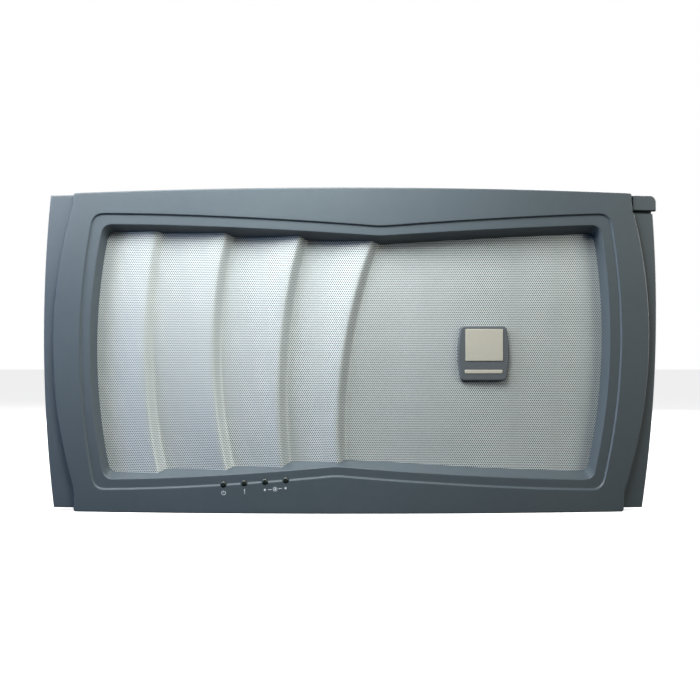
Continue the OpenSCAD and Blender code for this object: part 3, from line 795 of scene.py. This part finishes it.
def lattice(shift):
    u = math_node(nt, "WRAP", math_node(nt, "MULTIPLY_ADD", sep.outputs[0], 1 / PITCH, shift), 0.5, -0.5)
    v = math_node(nt, "WRAP", math_node(nt, "MULTIPLY_ADD", sep.outputs[1], 1 / rowp, shift), 0.5, -0.5)
    u, v = math_node(nt, "MULTIPLY", u, PITCH), math_node(nt, "MULTIPLY", v, rowp)
    return math_node(nt, "MULTIPLY_ADD", u, u, math_node(nt, "MULTIPLY", v, v))


d = math_node(nt, "SQRT", math_node(nt, "MINIMUM", lattice(0.0), lattice(0.5)))
# mask of the holes, which also carries the painted shade of the holes
hole_and_shade = spread(nt, d, HOLE - 0.00005, HOLE + 0.00005, 1.0, 0.0)
broad = noise(nt, 14.0, 4.0, 0.6)
fine = noise(nt, 2600.0, 2.0, 0.5)
paint = ramp(nt, math_node(nt, "MULTIPLY_ADD", broad, 0.6, math_node(nt, "MULTIPLY", fine, 0.4)), 0.35, 0.65, SHEET_DARK, SHEET_LIGHT)
mixer = node(nt, "ShaderNodeMix", data_type="RGBA")
nt.links.new(hole_and_shade, mixer.inputs["Factor"])
nt.links.new(paint, mixer.inputs["A"])
# painted shade: near-black where the holes are, standing for the shadow behind the sheet
mixer.inputs["B"].default_value = (0.012, 0.013, 0.013, 1)
nt.links.new(mixer.outputs["Result"], b.inputs["Base Color"])
nt.links.new(spread(nt, hole_and_shade, 0, 1, SHEET_METAL, 0.0), b.inputs["Metallic"])
nt.links.new(spread(nt, hole_and_shade, 0, 1, SHEET_ROUGH, 0.95), b.inputs["Roughness"])
bump(nt, b, math_node(nt, "MULTIPLY_ADD", hole_and_shade, -1.0, math_node(nt, "MULTIPLY", fine, 0.06)), 0.0001, 0.5)


def metal(name, dark, light, rough, scale, depth=0.000006, streak=None):
    """Bare or plated metal with a faint finish."""
    m, nt, b = material(name)
    if streak:
        tc = node(nt, "ShaderNodeTexCoord").outputs["Object"]
        mp = node(nt, "ShaderNodeMapping")
        mp.inputs["Scale"].default_value = streak
        nt.links.new(tc, mp.inputs["Vector"])
        fine = noise(nt, scale, 3.0, 0.6, mp.outputs["Vector"])
    else:
        fine = noise(nt, scale, 3.0, 0.6)
    nt.links.new(ramp(nt, fine, 0.3, 0.7, dark, light), b.inputs["Base Color"])
    nt.links.new(spread(nt, fine, 0.3, 0.7, rough - 0.06, rough + 0.06), b.inputs["Roughness"])
    b.inputs["Metallic"].default_value = 1.0
    bump(nt, b, fine, depth)
    return m


badge_metal, nt, b = material("badge_metal")
f = noise(nt, 1100.0, 3.0, 0.6)
nt.links.new(ramp(nt, f, 0.3, 0.7, (0.50, 0.475, 0.41), (0.56, 0.53, 0.46)), b.inputs["Base Color"])
nt.links.new(spread(nt, f, 0.3, 0.7, 0.42, 0.52), b.inputs["Roughness"])
b.inputs["Metallic"].default_value = 0.35
bump(nt, b, f, 0.00001)
plated = metal("fastener_steel", (0.55, 0.55, 0.54), (0.66, 0.66, 0.64), 0.34, 500.0)

pipe_plastic, nt, b = material("pipe_plastic")
f = noise(nt, 300.0, 2.0, 0.5)
nt.links.new(ramp(nt, f, 0.3, 0.7, (0.010, 0.016, 0.013), (0.020, 0.028, 0.023)), b.inputs["Base Color"])
nt.links.new(spread(nt, f, 0.3, 0.7, 0.10, 0.18), b.inputs["Roughness"])
b.inputs["Coat Weight"].default_value = 0.6
b.inputs["Coat Roughness"].default_value = 0.06

ink, nt, b = material("white_ink")
f = noise(nt, 2200.0, 3.0, 0.6)
nt.links.new(ramp(nt, f, 0.25, 0.6, (0.42, 0.47, 0.50), (0.66, 0.70, 0.72)), b.inputs["Base Color"])
b.inputs["Roughness"].default_value = 0.6


def dress(ob, mat):
    ob.data.materials.clear()
    ob.data.materials.append(mat)
    ob.data.polygons.foreach_set("material_index", [0] * len(ob.data.polygons))


for ob, mat in ((front_frame, frame_plastic), (folded_grille, perforated), (badge_plate, badge_plastic), (badge_panel, badge_metal),
                (badge_strip, badge_metal), (end_tab, frame_plastic), (printed_marks, ink), *((o, pipe_plastic) for o in lamps)):
    dress(ob, mat)
for name, mat in (("grille_washers", plated), ("grille_screws", plated), ("carrier_screws", plated), ("socket_screws", plated), ("badge_push_nuts", plated),
                  ("light_pipe_carrier", carrier_plastic), ("ball_socket_lower_left", socket_plastic), ("ball_socket_lower_right", socket_plastic),
                  ("ball_socket_upper_left", socket_plastic), ("ball_socket_upper_right", socket_plastic)):
    for s in NODE[name].material_slots:
        s.material = mat
    if not NODE[name].material_slots:
        NODE[name].data.materials.append(mat)

# ---------------------------------------------------------------- floor, light and camera
def stage_material(name, colour, rough, glow=0.0):
    m, nt, b = material(name)
    b.inputs["Base Color"].default_value = (*colour, 1)
    b.inputs["Roughness"].default_value = rough
    b.inputs["Specular IOR Level"].default_value = 0.1
    if glow:
        b.inputs["Emission Color"].default_value = (1, 1, 1, 1)
        b.inputs["Emission Strength"].default_value = glow
    return m


def stage_mesh(name, verts, faces):
    me = bpy.data.meshes.new(name)
    me.from_pydata(verts, [], faces)
    ob = bpy.data.objects.new(name, me)
    scene.collection.objects.link(ob)
    return ob


floor = stage_mesh("floor", [(-8, -8, 0), (8, -8, 0), (8, 8, 0), (-8, 8, 0)], [(0, 1, 2, 3)])
floor.data.materials.append(stage_material("floor_paper", (0.5, 0.5, 0.5), 0.9, 0.85))
# a pale surround that only the camera sees, so that it adds nothing to the light
bm = bmesh.new()
bmesh.ops.create_uvsphere(bm, u_segments=48, v_segments=24, radius=9.0)
me = bpy.data.meshes.new("surround")
bm.to_mesh(me)
bm.free()
surround = bpy.data.objects.new("surround", me)
scene.collection.objects.link(surround)
m = bpy.data.materials.new("surround_paper")
m.use_nodes = True
m.node_tree.nodes.clear()
em = m.node_tree.nodes.new("ShaderNodeEmission")
em.inputs["Strength"].default_value = 1.0
mo = m.node_tree.nodes.new("ShaderNodeOutputMaterial")
m.node_tree.links.new(em.outputs[0], mo.inputs["Surface"])
me.materials.append(m)
for o in (floor, surround):
    o.visible_diffuse = o.visible_glossy = o.visible_transmission = False
surround.visible_shadow = False

world = bpy.data.worlds.new("world")
scene.world = world
world.use_nodes = True
bg = world.node_tree.nodes["Background"]
bg.inputs[0].default_value = (0.9, 0.95, 1.0, 1)
bg.inputs[1].default_value = 0.02


def soft_light(name, place, size, power, colour, aim=(0, 0, 0.13)):
    l = bpy.data.lights.new(name, "AREA")
    l.shape, l.size, l.energy, l.color = "SQUARE", size, power, colour
    o = bpy.data.objects.new(name, l)
    scene.collection.objects.link(o)
    o.location = place
    o.visible_camera = False
    o.rotation_euler = (Vector(aim) - Vector(place)).to_track_quat("-Z", "Y").to_euler()
    return o


soft_light("upper_left", (-0.45, -0.17, 0.43), 0.25, 2.35, (0.97, 0.95, 0.96))
soft_light("above_left", (-0.18, -0.17, 0.44), 0.20, 1.25, (0.97, 1.0, 0.98))
soft_light("above", (-0.02, -0.25, 0.46), 0.20, 2.3, (0.95, 1.0, 0.98))
soft_light("left_fill", (-1.3, -0.5, 0.25), 0.6, 4.4, (0.15, 0.42, 1.0))
soft_light("right_fill", (1.2, -0.9, 0.6), 0.7, 8.6, (0.98, 0.98, 0.88))
soft_light("rear", (0.5, 1.5, 0.9), 1.0, 34.0, (1.0, 1.0, 1.0))
soft_light("right_side", (1.5, 0.4, 0.45), 0.7, 14.0, (1.0, 1.0, 1.0))
soft_light("rear_low", (-0.9, 1.2, 0.4), 0.8, 12.0, (1.0, 1.0, 1.0))
scene.view_settings.view_transform = "Standard"

cam = bpy.data.cameras.new("camera")
camera = bpy.data.objects.new("camera", cam)
scene.collection.objects.link(camera)
camera.location = (0, -1.1059, 0.1293)
camera.rotation_euler = (math.radians(90), 0, 0)
cam.lens, cam.sensor_width = 70.71, 36
cam.clip_start, cam.clip_end = 0.01, 60
scene.camera = camera
